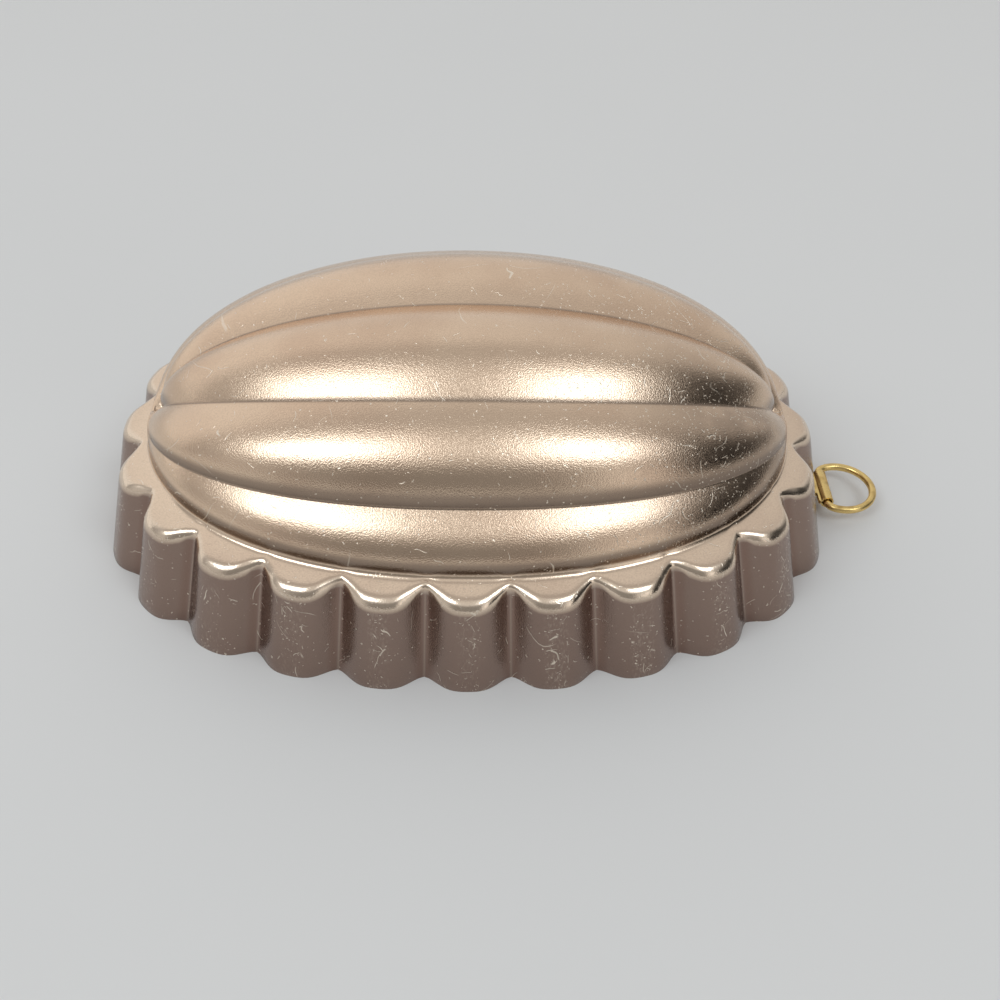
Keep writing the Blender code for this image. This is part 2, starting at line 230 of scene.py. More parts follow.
class Rule:
    """A node tree in the making, with its inputs by name."""

    def __init__(self, name, takes=(), gives=(), kind="GeometryNodeTree", tree=None):
        self.tree = tree or bpy.data.node_groups.new(name, kind)
        self.count = 0
        if tree:
            return
        for title, socket_type, default in takes:
            socket = self.tree.interface.new_socket(name=title, in_out="INPUT", socket_type=socket_type)
            if default is not None:
                socket.default_value = default
        for title, socket_type in gives:
            self.tree.interface.new_socket(name=title, in_out="OUTPUT", socket_type=socket_type)
        self.entry = self.place("NodeGroupInput")
        self.exit = self.place("NodeGroupOutput")

    def __getitem__(self, title):
        return Value(self, self.entry.outputs[title])

    def place(self, kind, **settings):
        node = self.tree.nodes.new(kind)
        node.location = (NODE_COLUMN * (self.count // NODES_DOWN), -NODE_ROW * (self.count % NODES_DOWN))
        self.count += 1
        for key, setting in settings.items():
            setattr(node, key, setting)
        return node

    def feed(self, socket, value):
        if isinstance(value, Value):
            self.tree.links.new(value.socket, socket)
        elif socket.type == "VECTOR" and not hasattr(value, "__len__"):
            socket.default_value = (value, value, value)
        elif socket.type == "RGBA" and len(value) == 3:
            socket.default_value = (*value, 1.0)
        else:
            socket.default_value = value

    def socket(self, node, title):
        """The named input that is in use at the node's settings."""
        return next(s for s in node.inputs if s.name == title and s.enabled)

    def node(self, kind, inputs, outlet=None, **settings):
        """Adds a node and gives the named output, or the first that is in use."""
        node = self.place(kind, **settings)
        for title, value in inputs.items():
            self.feed(self.socket(node, title), value)
        found = [s for s in node.outputs if s.enabled and outlet in (None, s.name)]
        return Value(self, found[0])

    def group(self, rule, inputs, outlet=None):
        return self.node(self.group_kind(), inputs, outlet, node_tree=rule.tree)

    def group_kind(self):
        return "ShaderNodeGroup" if self.tree.bl_idname == "ShaderNodeTree" else "GeometryNodeGroup"

    def beside(self, value, outlet):
        """Another output of the node that a value comes from."""
        return Value(self, value.socket.node.outputs[outlet])

    def work(self, operation, *terms):
        vector = any(
            isinstance(term, Value) and term.socket.type == "VECTOR" or isinstance(term, (tuple, Vector))
            for term in terms
        )
        node = self.place("ShaderNodeVectorMath" if vector else "ShaderNodeMath", operation=operation)
        for socket, term in zip(node.inputs, terms):
            self.feed(socket, term)
        return Value(self, node.outputs["Value" if operation in {"LENGTH", "DOT_PRODUCT"} else 0])

    def point(self, x, y, z):
        return self.node("ShaderNodeCombineXYZ", {"X": x, "Y": y, "Z": z})

    def parts(self, value):
        x = self.node("ShaderNodeSeparateXYZ", {"Vector": value}, "X")
        return x, self.beside(x, "Y"), self.beside(x, "Z")

    def mix(self, share, a, b):
        """Between two numbers or two points."""
        return a + (b - a) * share

    def put(self, title, value):
        self.tree.links.new(value.socket, self.exit.inputs[title])
        return self


def size_inputs(*groups):
    """Node tree inputs for the properties of property groups, under the same names."""
    takes = []
    for group in groups:
        for prop in group.bl_rna.properties:
            if prop.type in {"FLOAT", "INT"}:
                takes.append((prop.name, NUMBER if prop.type == "FLOAT" else WHOLE, prop.default))
    return takes


def set_inputs(modifier, **by_name):
    """Sets a nodes modifier's inputs, which are reached by identifier."""
    for item in modifier.node_group.interface.items_tree:
        if item.item_type == "SOCKET" and item.in_out == "INPUT" and item.name in by_name:
            modifier[item.identifier] = by_name[item.name]


def sizes_by_name(*groups):
    found = {}
    for group in groups:
        for prop in group.bl_rna.properties:
            if prop.type in {"FLOAT", "INT"}:
                found[prop.name] = getattr(group, prop.identifier)
    return found


OVAL_POINTS = 2880


def oval_rule():
    rule = Rule(
        "oval",
        [("Half length", NUMBER, 0.1), ("Half width", NUMBER, 0.1), ("Power", NUMBER, 2.0)],
        [("Curve", GEOMETRY)],
    )
    circle = rule.node("GeometryNodeCurvePrimitiveCircle", {"Resolution": OVAL_POINTS}, mode="RADIUS")
    turn = rule.node("GeometryNodeInputIndex", {}) * (2 * math.pi / OVAL_POINTS)
    squareness = 2.0 / rule["Power"]
    reach = []
    for operation, half in (("COSINE", "Half length"), ("SINE", "Half width")):
        part = rule.work(operation, turn)
        reach.append(rule.work("SIGN", part) * rule.work("ABSOLUTE", part) ** squareness * rule[half])
    place = rule.point(reach[0], reach[1], 0.0)
    return rule.put("Curve", rule.node("GeometryNodeSetPosition", {"Geometry": circle, "Position": place}))


def flutes_rule(oval):
    """Points of the fluted outline and of the oval through its valleys, at a share of the way round."""
    takes = [("Around", NUMBER, 0.0), ("Half length", NUMBER, 0.1), ("Half width", NUMBER, 0.1)]
    takes += [("Depth", NUMBER, 0.005), ("Power", NUMBER, 2.0), ("Flutes", NUMBER, 24.0)]
    takes += [("Fullness", NUMBER, 1.0), ("Rounding", NUMBER, 0.0)]
    rule = Rule("fluted_outline", takes, [("Crest", POINT), ("Valley", POINT), ("Wave", NUMBER)])
    valley_oval = rule.group(
        oval,
        {
            "Half length": rule["Half length"] - rule["Depth"],
            "Half width": rule["Half width"] - rule["Depth"],
            "Power": rule["Power"],
        },
    )
    inputs = {"Curves": valley_oval, "Factor": rule["Around"]}
    valley = rule.node("GeometryNodeSampleCurve", inputs, "Position", mode="FACTOR")
    along_x, along_y, _ = rule.parts(rule.beside(valley, "Tangent"))
    outward = rule.work("NORMALIZE", rule.point(along_y, along_x * -1.0, 0.0))
    phase = rule["Around"] * rule["Flutes"] * (2 * math.pi)
    swell = rule.work("MAXIMUM", (rule.work("COSINE", phase) + 1.0) / 2.0, 0.0) ** rule["Fullness"]
    wave = rule.mix(rule["Rounding"], swell, swell * swell * (3.0 - swell * 2.0))
    rule.put("Crest", valley + outward * (wave * rule["Depth"]))
    rule.put("Valley", valley)
    return rule.put("Wave", wave)


def fluted_inputs(rule, place, around):
    """Inputs of the fluted outline for the rim or for the ledge."""
    inputs = {"Around": around, "Half length": rule[place + " half length"]}
    inputs.update({"Half width": rule[place + " half width"], "Depth": rule[place + " flute depth"]})
    inputs.update({"Power": rule["Oval power"], "Flutes": rule["Flutes"]})
    inputs.update({"Fullness": rule["Flute fullness"], "Rounding": rule["Valley rounding"]})
    return inputs


LEDGE_SIZES = (
    "Ledge half length",
    "Ledge half width",
    "Ledge flute depth",
    "Oval power",
    "Flutes",
    "Flute fullness",
    "Valley rounding",
    "Foot half length",
    "Foot half width",
    "Foot oval power",
)


def foot_rule(oval, flutes):
    """Points of the ledge's edge and of the dome's foot across from it, at a share of the way round."""
    takes = [("Around", NUMBER, 0.0)] + [(name, NUMBER, 1.0) for name in LEDGE_SIZES]
    rule = Rule("ledge_and_foot", takes, [("Edge", POINT), ("Foot", POINT), ("Wave", NUMBER)])
    edge = rule.group(flutes, fluted_inputs(rule, "Ledge", rule["Around"]), "Crest")
    inputs = {"Half length": rule["Foot half length"], "Half width": rule["Foot half width"]}
    foot_oval = rule.group(oval, {**inputs, "Power": rule["Foot oval power"]})
    line = rule.node("GeometryNodeCurveToMesh", {"Curve": foot_oval})
    inputs = {"Geometry": line, "Sample Position": rule.beside(edge, "Valley")}
    foot = rule.node("GeometryNodeProximity", inputs, "Position", target_element="EDGES")
    rule.put("Edge", edge)
    rule.put("Wave", rule.beside(edge, "Wave"))
    return rule.put("Foot", foot)


def unit_grid(rule, columns, rows):
    """A grid, with each point's share of the way along it and across it."""
    inputs = {"Size X": 1.0, "Size Y": 1.0, "Vertices X": columns + 1, "Vertices Y": rows + 1}
    grid = rule.node("GeometryNodeMeshGrid", inputs, "Mesh")
    x, y, _ = rule.parts(rule.node("GeometryNodeInputPosition", {}))
    return grid, x + 0.5, y + 0.5


def mark(rule, mesh, name, value):
    """Keeps a value on the mesh for the finish to read."""
    inputs = {"Geometry": mesh, "Name": name, "Value": value}
    return rule.node("GeometryNodeStoreNamedAttribute", inputs, data_type="FLOAT", domain="POINT")


def band_rule():
    """A closed band of the sheet. It leaves one line and reaches another, drawn towards a third."""
    takes = [("Columns", WHOLE, 8), ("Rows", WHOLE, 4), ("Start", POINT, None), ("Corner", POINT, None)]
    takes += [("End", POINT, None), ("Wave", NUMBER, 0.0), ("Rounding", NUMBER, 0.0)]
    rule = Rule("band", takes, [("Mesh", GEOMETRY)])
    grid, _, t = unit_grid(rule, rule["Columns"], rule["Rows"])
    grid = mark(rule, grid, "wave", rule["Wave"])
    grid = mark(rule, grid, "rounding", rule["Rounding"] * rule.work("SINE", t * math.pi))
    back = 1.0 - t
    place = rule["Start"] * (back * back) + rule["Corner"] * (t * back * 2.0) + rule["End"] * (t * t)
    return rule.put("Mesh", rule.node("GeometryNodeSetPosition", {"Geometry": grid, "Position": place}))


# How much a lobe's rows crowd towards its creases, and how fast the mark of a crease, painted as shade, fades
# beside it.
CROWDING = 0.55
CREASE_FADE = 40.0


def lobe_rule():
    """One lobe of the dome: a bulge between two creases, with its rows crowded towards them."""
    takes = [("Columns", WHOLE, 8), ("Rows", WHOLE, 4), ("Lower", POINT, None), ("Upper", POINT, None)]
    takes += [("Lower angle", NUMBER, 0.5), ("Upper angle", NUMBER, 0.5), ("Nose", NUMBER, 0.0)]
    takes += [("Lower hold", NUMBER, 1.0), ("Upper hold", NUMBER, 1.0), ("Lower crease", NUMBER, 1.0)]
    rule = Rule("lobe", takes, [("Mesh", GEOMETRY)])
    grid, _, even = unit_grid(rule, rule["Columns"], rule["Rows"])
    t = even - rule.work("SINE", even * (2 * math.pi)) * (CROWDING / (2 * math.pi))
    back = 1.0 - t
    crease = rule.work("MAXIMUM", 1.0 - t * CREASE_FADE, 0.0) * rule["Lower crease"]
    crease = rule.work("MAXIMUM", crease, 1.0 - back * CREASE_FADE)
    grid = mark(rule, grid, "crease", crease)

    across = (0.0, 1.0, 1.0)
    chord = (rule["Upper"] - rule["Lower"]) * across
    along = rule.work("NORMALIZE", chord)
    out = rule.work("CROSS_PRODUCT", (1.0, 0.0, 0.0), along)
    slack = rule.work("COSINE", (rule["Lower angle"] + rule["Upper angle"]) / 4.0)
    handle = rule.work("LENGTH", chord) / (slack * slack * 3.0)
    pulls = []
    for name in ("Lower angle", "Upper angle"):
        pulls.append((along * rule.work("COSINE", rule[name]), out * rule.work("SINE", rule[name])))
    start, end = rule["Lower"] * across, rule["Upper"] * across
    first = start + (pulls[0][0] + pulls[0][1]) * (handle * rule["Lower hold"])
    second = end - (pulls[1][0] - pulls[1][1]) * (handle * rule["Upper hold"])
    section = start * (back * back * back) + first * (t * back * back * 3.0)
    section = section + second * (t * t * back * 3.0) + end * (t * t * t)
    low_x, _, _ = rule.parts(rule["Lower"])
    high_x, _, _ = rule.parts(rule["Upper"])
    reach = rule.mix(t, low_x, high_x) + rule["Nose"] * (t * back * 4.0)
    place = section + rule.point(reach, 0.0, 0.0)
    return rule.put("Mesh", rule.node("GeometryNodeSetPosition", {"Geometry": grid, "Position": place}))


MERGE = 0.002 * MM
BAND_ROWS = {"wall": 9, "edge": 8, "ledge": 6, "fillet": 4, "upright": 1}
# The most of the ledge that the foot fillet takes, and the most of the rest that the rounded edge takes.
FILLET_PART, EDGE_PART = 0.35, 0.8


def ledge_point(rule, foot_group, around):
    """Points of the ledge's edge and of the dome's foot, and the flutes' wave there."""
    inputs = {name: rule[name] for name in LEDGE_SIZES}
    edge = rule.group(foot_group, {"Around": around, **inputs}, "Edge")
    return edge, rule.beside(edge, "Foot"), rule.beside(edge, "Wave")


def ledge_top(rule):
    """Height of the ledge where the dome stands on it."""
    width = rule["Ledge half length"] - rule["Foot half length"]
    return rule["Ledge height"] + rule.work("TANGENT", rule["Ledge slope"]) * width


def skirt_bands(rule, flutes, foot_group, band):
    """The skirt's wall, the ledge with its rounded edge, and the fillet at the dome's foot."""
    x, _, _ = rule.parts(rule.node("GeometryNodeInputPosition", {}))
    around = x + 0.5
    rim = rule.group(flutes, fluted_inputs(rule, "Rim", around), "Crest")
    edge_plan, foot_plan, wave = ledge_point(rule, foot_group, around)
    room = rule.work("LENGTH", edge_plan - foot_plan)
    foot_height = ledge_top(rule)
    foot = foot_plan + rule.point(0.0, 0.0, foot_height)
    edge = edge_plan + rule.point(0.0, 0.0, foot_height - rule.work("TANGENT", rule["Ledge slope"]) * room)
    fillet = rule.work("MINIMUM", rule["Foot fillet"], room * FILLET_PART)
    inward = rule.work("NORMALIZE", foot - edge)
    fillet_end = foot - inward * fillet
    flat = rule.work("LENGTH", fillet_end - edge)
    turn_in = rule.work("MINIMUM", rule["Ledge edge round"], flat * EDGE_PART)
    wall_end = edge + rule.work("NORMALIZE", rim - edge) * turn_in
    ledge_start = edge + inward * turn_in
    wall_start = foot + rule.point(0.0, 0.0, fillet)
    foot_top = foot + rule.point(0.0, 0.0, rule["Foot fillet"] + rule["Foot wall"])
    lines = {
        "wall": (rim, rule.mix(0.5, rim, wall_end), wall_end, 0.0),
        "edge": (wall_end, edge, ledge_start, 1.0),
        "ledge": (ledge_start, rule.mix(0.5, ledge_start, fillet_end), fillet_end, 0.0),
        "fillet": (fillet_end, foot, wall_start, 0.0),
        "upright": (wall_start, rule.mix(0.5, wall_start, foot_top), foot_top, 0.0),
    }
    meshes = []
    for name, (start, corner, end, rounding) in lines.items():
        inputs = {"Columns": rule["Flutes"] * rule["Columns per flute"], "Rows": BAND_ROWS[name]}
        inputs.update({"Start": start, "Corner": corner, "End": end, "Wave": wave, "Rounding": rounding})
        meshes.append(rule.group(band, inputs))
    return meshes


# Brings every station between the dome's two ends to 1, and leaves the two end stations at 0.
ENOUGH = 1.0e5


def dome_lobes(rule, foot_group, lobe):
    """The three lobes of the front half of the dome, from one end to the other."""
    x, _, _ = rule.parts(rule.node("GeometryNodeInputPosition", {}))
    sweep = x + 0.5
    _, foot, _ = ledge_point(rule, foot_group, (1.0 - sweep) * 0.5)
    foot_x, foot_y, _ = rule.parts(foot)
    # The two end stations are single upright lines.
    inside = rule.work("MINIMUM", sweep * (1.0 - sweep) * ENOUGH, 1.0)
    along = foot_x / rule["Foot half length"]
    share = rule.work("SQRT", rule.work("MAXIMUM", 1.0 - along * along, 0.0)) * inside
    width = rule.work("ABSOLUTE", foot_y) * inside
    foot_height = ledge_top(rule) + rule["Foot fillet"] + rule["Foot wall"]
    lines = [rule.point(along * rule["Foot half length"], width * -1.0, foot_height)]
    shares = [width / rule["Foot half width"], share, share]
    for name, part in zip(("Outer", "Inner", "Top"), shares):
        low = rule["Ledge height"] + rule[name + " crease end height"]
        rise = rule[name + " crease height"] - rule[name + " crease end height"]
        y = part * rule[name + " crease half width"] * -1.0
        lines.append(rule.point(along * rule[name + " crease half length"], y, low + rise * part))
    nose = along * rule["Nose"] * rule.work("SQRT", share)
    columns = rule["Flutes"] * rule["Columns per flute"] / 2.0
    meshes = []
    for index, name in enumerate(("Foot", "Side", "Top")):
        inputs = {"Columns": columns, "Rows": rule["Rows per lobe"], "Lower": lines[index]}
        inputs.update({"Upper": lines[index + 1], "Nose": nose if index else 0.0})
        inputs["Lower angle"] = rule[name + " lobe lower angle"] * inside
        inputs["Upper angle"] = rule[name + " lobe upper angle"] * inside
        if name == "Top":
            inputs["Lower hold"] = rule["Top lobe lower hold"]
            inputs["Upper hold"] = rule["Top lobe upper hold"]
        inputs["Lower crease"] = 1.0 if index else 0.0
        meshes.append(rule.group(lobe, inputs))
    return meshes


def joined(rule, meshes):
    """All the meshes as one."""
    node = rule.place("GeometryNodeJoinGeometry")
    for mesh in meshes:
        rule.tree.links.new(mesh.socket, node.inputs[0])
    return Value(rule, node.outputs[0])


def dressed(rule, geometry):
    """Smooth shading and the material, as the last steps of a shape."""
    smooth = rule.node("GeometryNodeSetShadeSmooth", {"Geometry": geometry, "Shade Smooth": True})
    real = rule.node("GeometryNodeRealizeInstances", {"Geometry": smooth})
    return rule.node("GeometryNodeSetMaterial", {"Geometry": real, "Material": rule["Material"]})


def sheet_rule():
    """Outer face of the whole sheet, about the mould's own centre."""
    oval = oval_rule()
    flutes = flutes_rule(oval)
    foot_group = foot_rule(oval, flutes)
    takes = size_inputs(SheetSizes) + [("Centre", POINT, None), ("Material", MATERIAL, None)]
    rule = Rule("melon_mould_sheet", takes, [("Mesh", GEOMETRY)])
    front = joined(rule, dome_lobes(rule, foot_group, lobe_rule()))
    mirrored = rule.node("GeometryNodeTransform", {"Geometry": front, "Scale": (1.0, -1.0, 1.0)})
    back = rule.node("GeometryNodeFlipFaces", {"Mesh": mirrored})
    skirt = skirt_bands(rule, flutes, foot_group, band_rule())
    whole = joined(rule, [*skirt, front, back])
    sheet = rule.node("GeometryNodeMergeByDistance", {"Geometry": whole, "Distance": MERGE})
    sheet = rule.node("GeometryNodeSetPosition", {"Geometry": sheet, "Offset": rule["Centre"]})
    return rule.put("Mesh", dressed(rule, sheet))


def trim_rule():
    """Lifts what stands below the rim's plane up to it, so that the rim is flat."""
    rule = Rule("flat_rim", [("Geometry", GEOMETRY, None)], [("Geometry", GEOMETRY)])
    _, _, height = rule.parts(rule.node("GeometryNodeInputPosition", {}))
    lift = rule.point(0.0, 0.0, rule.work("MINIMUM", height, 0.0) * -1.0)
    lifted = rule.node("GeometryNodeSetPosition", {"Geometry": rule["Geometry"], "Offset": lift})
    return rule.put("Geometry", lifted)


# Meshes


def new_object(name, data):
    obj = bpy.data.objects.new(name, data)
    bpy.context.scene.collection.objects.link(obj)
    return obj


def mesh_from(bm, name):
    mesh = bpy.data.meshes.new(name)
    bm.to_mesh(mesh)
    bm.free()
    return mesh


def plain_mesh(obj, name):
    """Turns an object with its modifiers into a plain mesh object of the name given."""
    bpy.context.view_layer.update()
    depsgraph = bpy.context.evaluated_depsgraph_get()
    evaluated = obj.evaluated_get(depsgraph)
    mesh = bpy.data.meshes.new_from_object(evaluated, preserve_all_data_layers=True, depsgraph=depsgraph)
    mesh.name = name
    bpy.data.objects.remove(obj, do_unlink=True)
    return new_object(name, mesh)


def cutter_box(name, low, high):
    bm = bmesh.new()
    bmesh.ops.create_cube(bm, size=1.0)
    bmesh.ops.scale(bm, verts=bm.verts, vec=high - low)
    bmesh.ops.translate(bm, verts=bm.verts, vec=(low + high) / 2)
    return new_object(name, mesh_from(bm, name))


def broken_edges(obj, width, angle):
    """Breaks the edges that turn by more than an angle in degrees."""
    edge = obj.modifiers.new("broken_edges", "BEVEL")
    edge.width = width
    edge.segments = 2
    edge.limit_method = "ANGLE"
    edge.angle_limit = math.radians(angle)


def finish_piece(obj, body, node):
    """Lets a piece ride on its body in place of its plain solid."""
    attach(obj, body)
    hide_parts(node)
    return obj


# How far the slot's cutter reaches inwards and outwards, in thicknesses of the sheet.
CUTTER_IN, CUTTER_OUT = 8, 4
RIM_EDGE_ANGLE = 62.0


def mould_shell(sizes, walls, finish):
    """The pressed sheet: its outer face by rule, then its thickness, its flat rim and the strap's slot."""
    outside, inside = anodised_aluminium(finish), natural_aluminium(finish)
    obj = new_object("sheet_in_the_making", bpy.data.meshes.new("sheet_in_the_making"))
    nodes = obj.modifiers.new("outer_face", "NODES")
    nodes.node_group = sheet_rule().tree
    set_inputs(nodes, Centre=CENTRE, Material=outside, **sizes_by_name(sizes))
    obj = plain_mesh(obj, "sheet_in_the_making")
    obj.data.materials.clear()
    obj.data.materials.append(outside)
    obj.data.materials.append(inside)

    wall = obj.modifiers.new("sheet", "SOLIDIFY")
    wall.thickness = walls.thickness
    wall.offset = -1.0
    wall.material_offset = 1
    wall.material_offset_rim = 1
    trim = obj.modifiers.new("flat_rim", "NODES")
    trim.node_group = trim_rule().tree
    crest = CENTRE.x + sizes.rim_half_length
    low = Vector((crest - CUTTER_IN * walls.thickness, -walls.slot_width / 2, 0.0))
    high = Vector((crest + CUTTER_OUT * walls.thickness, walls.slot_width / 2, 0.0))
    low.z = walls.slot_height - walls.slot_gap / 2
    high.z = walls.slot_height + walls.slot_gap / 2
    box = cutter_box("slot_cutter", low, high)
    slot = obj.modifiers.new("slot", "BOOLEAN")
    slot.operation = "DIFFERENCE"
    slot.solver = "EXACT"
    slot.object = box
    broken_edges(obj, walls.rim_break, RIM_EDGE_ANGLE)
    obj = plain_mesh(obj, "pressed_sheet")
    bpy.data.objects.remove(box, do_unlink=True)
    return finish_piece(obj, "mould", "mould_shell")


# A path's corners that turn by less than this, in degrees, stay as they are.
SOFT_TURN = 40.0


def rounded_path(points, radius, steps):
    """A path in a plane with its sharp corners rounded."""
    path = [points[0]]
    for before, corner, after in zip(points, points[1:], points[2:]):
        back, on = before - corner, after - corner
        turn = math.pi - back.angle(on)
        if turn < math.radians(SOFT_TURN):
            path.append(corner)
            continue
        reach = min(radius * math.tan(turn / 2), back.length * 0.5, on.length * 0.5)
        start, end = corner + back.normalized() * reach, corner + on.normalized() * reach
        for step in range(steps + 1):
            t = step / steps
            path.append((1 - t) ** 2 * start + 2 * t * (1 - t) * corner + t * t * end)
    return path + [points[-1]]


BARREL_STEPS = 48
BEND_STEPS = 6


def strap_path(hanger, sheet, walls):
    """Middle line of the strap in the XZ plane, and where it is wide."""
    flare = math.atan2(sheet.rim_half_length - sheet.ledge_half_length, sheet.ledge_height)
    lean = Vector((-math.sin(flare), math.cos(flare)))
    barrel_radius = hanger.wire / 2 + hanger.play + hanger.strip / 2
    leaf = (hanger.strip + hanger.leaf_gap) / 2
    leg = Vector((HINGE.x, HINGE.z))

    def crest(height):
        return CENTRE.x + sheet.rim_half_length - math.tan(flare) * height

    behind = (walls.thickness + hanger.play + hanger.strip / 2) / math.cos(flare)
    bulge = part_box("hanger_strap")[0].x
    upper = Vector((crest(leg.y + leaf) - behind, leg.y + leaf))
    lower = Vector((crest(leg.y - leaf) - behind, leg.y - leaf))
    tip = upper + lean * hanger.upper_tongue
    back_off = Vector((bulge + hanger.strip / 2 * math.cos(flare) - tip.x, 0.0))
    upper, lower, tip = upper + back_off, lower + back_off, tip + back_off
    mouth = math.asin(leaf / barrel_radius)
    barrel = []
    for step in range(BARREL_STEPS + 1):
        turn = (math.pi - mouth) * (1 - 2 * step / BARREL_STEPS)
        barrel.append(leg + barrel_radius * Vector((math.cos(turn), math.sin(turn))))
    neck = crest(leg.y) + hanger.play
    path = [tip, upper, *barrel, lower, lower - lean * hanger.lower_tongue]
    return rounded_path(path, hanger.bend + hanger.strip / 2, BEND_STEPS), neck


# The strap's cut corners where it widens, the short stretch over which it widens, and its broken edges.
STRAP_CORNER, STRAP_STEP, STRAP_BREAK = 0.35 * MM, 0.02 * MM, 0.08 * MM
STRAP_EDGE_ANGLE = 50.0


def strap_stations(path, neck):
    """Places along the strap, with whether its width changes there."""
    stations = []
    for before, after in zip(path, path[1:]):
        stations.append((before, False))
        if (before.x - neck) * (after.x - neck) < 0:
            share = (neck - before.x) / (after.x - before.x)
            stations.append((before + (after - before) * share, True))
    return stations + [(path[-1], False)]


def strap_rows(path, neck, wide, narrow):
    """Places along the strap, with half its width at each. It is wide on the ring's side of its neck."""
    rows = []
    for place, is_step in strap_stations(path, neck):
        if not is_step:
            rows.append((place, wide if place.x > neck else narrow))
            continue
        step = [(place, narrow)]
        step.append((place + Vector((STRAP_STEP, 0.0)), wide - STRAP_CORNER))
        step.append((place + Vector((STRAP_CORNER, 0.0)), wide))
        widens = rows[-1][1] < wide
        rows += step if widens else reversed(step)
    return rows


def strap_mesh(rows):
    """The strap's middle face, with three faces across it."""
    bm = bmesh.new()
    lines = []
    for place, half in rows:
        marks = (-half, -half / 3, half / 3, half)
        lines.append([bm.verts.new((place.x, y, place.y)) for y in marks])
    for low, high in zip(lines, lines[1:]):
        for index in range(len(low) - 1):
            bm.faces.new((low[index], low[index + 1], high[index + 1], high[index]))
    bmesh.ops.remove_doubles(bm, verts=bm.verts, dist=MERGE)
    mesh = mesh_from(bm, "strap_in_the_making")
    mesh.shade_smooth()
    return mesh


def hanger_strap(hanger, sheet, walls, finish):
    """The brass strip folded round the ring's leg, with its two tongues bent apart inside."""
    path, neck = strap_path(hanger, sheet, walls)
    rows = strap_rows(path, neck, hanger.leg_half - hanger.play, hanger.tongue / 2)
    obj = new_object("strap_in_the_making", strap_mesh(rows))
    obj.data.materials.append(brass(finish))
    wall = obj.modifiers.new("strip", "SOLIDIFY")
    wall.thickness = hanger.strip
    wall.offset = 0.0
    wall.use_even_offset = True
    broken_edges(obj, STRAP_BREAK, STRAP_EDGE_ANGLE)
    obj = plain_mesh(obj, "folded_strap")
    return finish_piece(obj, "mould", "hanger_strap")


WIRE_SIDES = 28
RING_STEPS = 24


def wire_rule():
    """Round wire along a path."""
    takes = [("Geometry", GEOMETRY, None), ("Wire", NUMBER, 0.002), ("Sides", WHOLE, WIRE_SIDES)]
    rule = Rule("bent_wire", takes + [("Material", MATERIAL, None)], [("Geometry", GEOMETRY)])
    inputs = {"Resolution": rule["Sides"], "Radius": rule["Wire"] / 2.0}
    profile = rule.node("GeometryNodeCurvePrimitiveCircle", inputs, mode="RADIUS")
    tube = rule.node("GeometryNodeCurveToMesh", {"Curve": rule["Geometry"], "Profile Curve": profile})
    return rule.put("Geometry", dressed(rule, tube))


def ring_path(hanger):
    """Middle line of the ring's wire about its leg."""
    steps = RING_STEPS
    shoulder = []
    for step in range(steps):
        turn = math.pi / 2 * step / steps
        rise = (hanger.bow_radius - hanger.leg_half) * math.sin(turn)
        shoulder.append((hanger.shoulder * (1 - math.cos(turn)), hanger.leg_half + rise))
    bow = []
    for step in range(4 * steps + 1):
        turn = math.pi / 2 - math.pi * step / (4 * steps)
        across, along = hanger.bow_radius * math.cos(turn), hanger.bow_radius * math.sin(turn)
        bow.append((hanger.shoulder + across, along))
    leg = [(0.0, hanger.leg_half * (2 * step / steps - 1)) for step in range(1, steps)]
    return shoulder + bow + [(x, -y) for x, y in reversed(shoulder)] + leg


def hanging_ring(hanger, finish):
    """The D-shaped ring of wire, in its place at rest."""
    curve = bpy.data.curves.new("ring_line", "CURVE")
    curve.dimensions = "3D"
    points = ring_path(hanger)
    spline = curve.splines.new("POLY")
    spline.points.add(len(points) - 1)
    for point, (x, y) in zip(spline.points, points):
        point.co = (HINGE.x + x, y, HINGE.z, 1.0)
    spline.use_cyclic_u = True
    obj = new_object("ring_in_the_making", curve)
    nodes = obj.modifiers.new("wire", "NODES")
    nodes.node_group = wire_rule().tree
    set_inputs(nodes, Wire=hanger.wire, Sides=WIRE_SIDES, Material=brass(finish))
    obj = plain_mesh(obj, "wire_ring")
    return finish_piece(obj, "ring", "hanging_ring")


# Finishes


def shader_rule(name, takes, gives):
    return Rule(name, takes, gives, kind="ShaderNodeTree")


def shared_group(name, make):
    """A shader node group that is built once."""
    tree = bpy.data.node_groups.get(name)
    if tree:
        return Rule(name, tree=tree)
    return make(name)


# Brings values between 0 and 1 to lie about 0.
HALF_BACK = (-0.5, -0.5, -0.5)


def noise(rule, vector, scale, detail=2.0, outlet="Fac"):
    return rule.node("ShaderNodeTexNoise", {"Vector": vector, "Scale": scale, "Detail": detail}, outlet)


def ramp(rule, value, low, high, to_low=0.0, to_high=1.0):
    """Goes smoothly from to_low to to_high while the value goes from low to high."""
    inputs = {"Value": value, "From Min": low, "From Max": high, "To Min": to_low, "To Max": to_high}
    return rule.node("ShaderNodeMapRange", inputs, interpolation_type="SMOOTHSTEP")


def plateau(rule, value, start, low, high, end):
    """1 between low and high, and 0 before start and after end."""
    return ramp(rule, value, start, low) * ramp(rule, value, end, high)


def blend_colours(rule, share, a, b):
    return rule.node("ShaderNodeMix", {"Factor": share, "A": a, "B": b}, data_type="RGBA")


